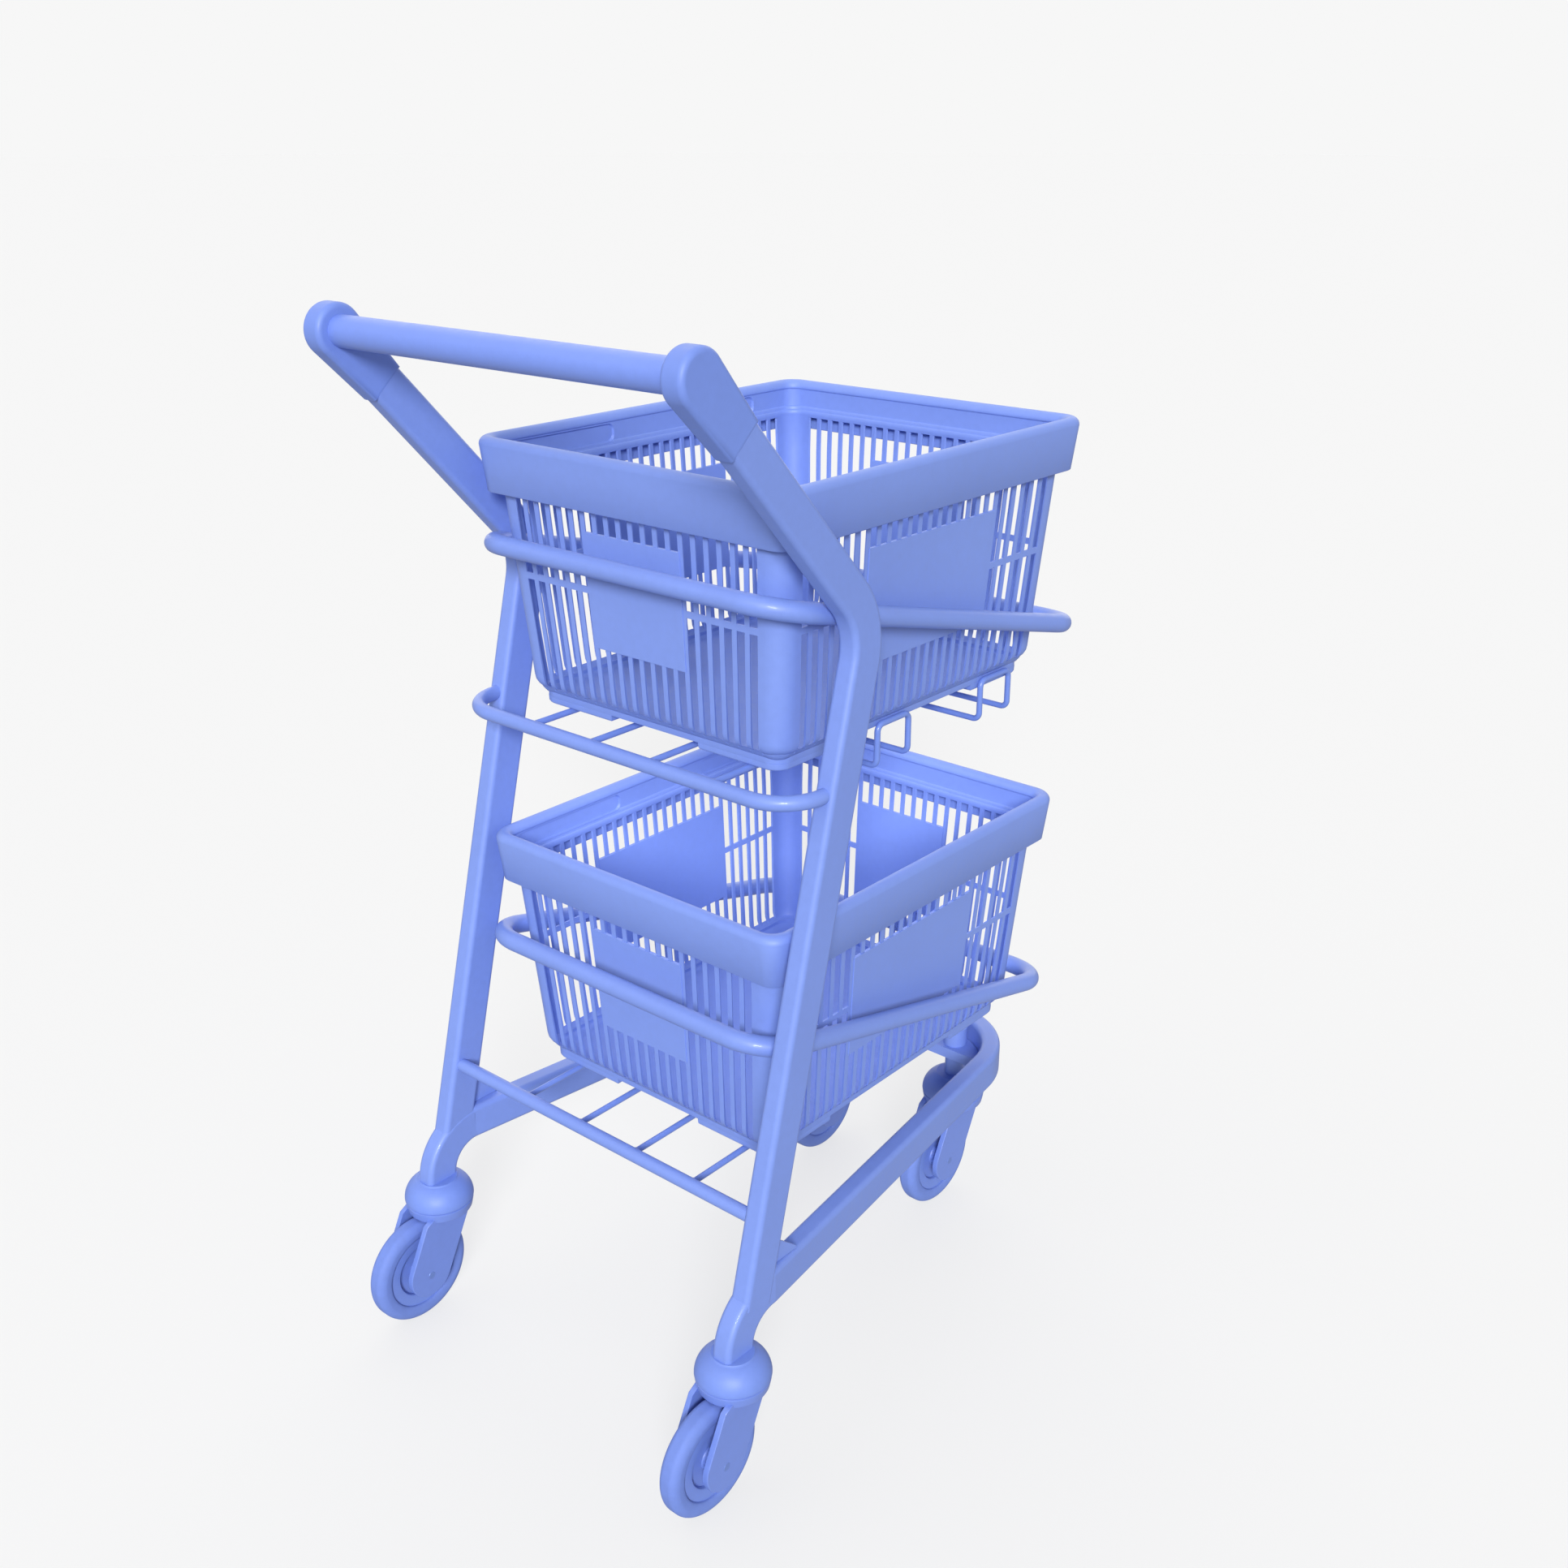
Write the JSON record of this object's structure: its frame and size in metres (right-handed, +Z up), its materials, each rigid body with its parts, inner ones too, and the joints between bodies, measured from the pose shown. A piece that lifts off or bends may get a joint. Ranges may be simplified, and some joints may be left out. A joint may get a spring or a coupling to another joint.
{
  "type": "rolling basket trolley",
  "caption": "Bent-tube shopping trolley with a push handle, two slotted lift-out hand baskets resting in sloping rings, and swivel casters.",
  "frame": {"origin": "on the ground, midway between the outermost points of the trolley in width and in length", "axes": "+Z up, +Y the way the trolley is pushed forward, +X to the right of the person pushing; the handle is at the -Y end"},
  "size_m": [0.4758, 0.6458, 1.0185],
  "materials": {
    "frame_powder": "satin powder coat",
    "wire_coated": "smooth coated wire",
    "grip": "smooth satin plastic sleeve",
    "moulding": "fine-grained moulded plastic",
    "basket": "satin injection-moulded plastic",
    "fork": "pressed steel, semi-gloss paint",
    "bolt": "turned, blue-tinted zinc",
    "hub": "satin moulded plastic",
    "tyre": "matt solid rubber"
  },
  "bodies": {
    "frame": {"base_rail": "frame_powder", "side_frame_left": "frame_powder", "side_frame_right": "frame_powder", "gusset_left": "frame_powder", "gusset_right": "frame_powder", "front_caster_plate": "frame_powder", "stem_boss_front_left": "frame_powder", "stem_boss_front_right": "frame_powder", "upper_ring": "frame_powder", "lower_ring": "frame_powder", "upper_hoop": "frame_powder", "lower_cross_tube": "frame_powder", "stem_front_left": "wire_coated", "stem_front_right": "wire_coated", "upper_rack_wire_1": "wire_coated", "upper_rack_wire_2": "wire_coated", "upper_rack_wire_3": "wire_coated", "upper_rack_wire_4": "wire_coated", "lower_rack_wire_1": "wire_coated", "lower_rack_wire_2": "wire_coated", "lower_rack_wire_3": "wire_coated", "lower_rack_wire_4": "wire_coated", "stirrup_rear": "wire_coated", "stirrup_front": "wire_coated", "handle_bar": "grip", "handle_bracket_left": "moulding", "handle_bracket_right": "moulding", "caster_hood_rear_left": "moulding", "caster_hood_rear_right": "moulding", "caster_hood_front_left": "moulding", "caster_hood_front_right": "moulding"},
    "basket_upper": {"basket_upper": "basket"},
    "basket_lower": {"basket_lower": "basket"},
    "caster_rear_left": {"caster_fork_rear_left": "fork", "caster_axle_rear_left": "bolt"},
    "wheel_rear_left": {"wheel_hub_rear_left": "hub", "tyre_rear_left": "tyre"},
    "caster_rear_right": {"caster_fork_rear_right": "fork", "caster_axle_rear_right": "bolt"},
    "wheel_rear_right": {"wheel_hub_rear_right": "hub", "tyre_rear_right": "tyre"},
    "caster_front_left": {"caster_fork_front_left": "fork", "caster_axle_front_left": "bolt"},
    "wheel_front_left": {"wheel_hub_front_left": "hub", "tyre_front_left": "tyre"},
    "caster_front_right": {"caster_fork_front_right": "fork", "caster_axle_front_right": "bolt"},
    "wheel_front_right": {"wheel_hub_front_right": "hub", "tyre_front_right": "tyre"}
  },
  "joints": [
    {"name": "lift_upper_basket", "type": "slide", "parent": "frame", "child": "basket_upper", "axis": [0, 0, 1], "range_m": [0, 0.25]},
    {"name": "lift_lower_basket", "type": "slide", "parent": "frame", "child": "basket_lower", "axis": [0, 0, 1], "range_m": [0, 0.085]},
    {"name": "swivel_rear_left", "type": "hinge", "parent": "frame", "child": "caster_rear_left", "pos_m": [-0.2032, -0.23304, 0.118], "axis": [0, 0, 1], "continuous": true},
    {"name": "spin_rear_left", "type": "hinge", "parent": "caster_rear_left", "child": "wheel_rear_left", "pos_m": [-0.2032, -0.26754, 0.0556], "axis": [1, 0, 0], "continuous": true},
    {"name": "swivel_rear_right", "type": "hinge", "parent": "frame", "child": "caster_rear_right", "pos_m": [0.2032, -0.23304, 0.118], "axis": [0, 0, 1], "continuous": true},
    {"name": "spin_rear_right", "type": "hinge", "parent": "caster_rear_right", "child": "wheel_rear_right", "pos_m": [0.2032, -0.26754, 0.0556], "axis": [1, 0, 0], "continuous": true},
    {"name": "swivel_front_left", "type": "hinge", "parent": "frame", "child": "caster_front_left", "pos_m": [-0.0836, 0.27596, 0.118], "axis": [0, 0, 1], "continuous": true},
    {"name": "spin_front_left", "type": "hinge", "parent": "caster_front_left", "child": "wheel_front_left", "pos_m": [-0.0836, 0.24146, 0.0556], "axis": [1, 0, 0], "continuous": true},
    {"name": "swivel_front_right", "type": "hinge", "parent": "frame", "child": "caster_front_right", "pos_m": [0.0836, 0.27596, 0.118], "axis": [0, 0, 1], "continuous": true},
    {"name": "spin_front_right", "type": "hinge", "parent": "caster_front_right", "child": "wheel_front_right", "pos_m": [0.0836, 0.24146, 0.0556], "axis": [1, 0, 0], "continuous": true}
  ]
}
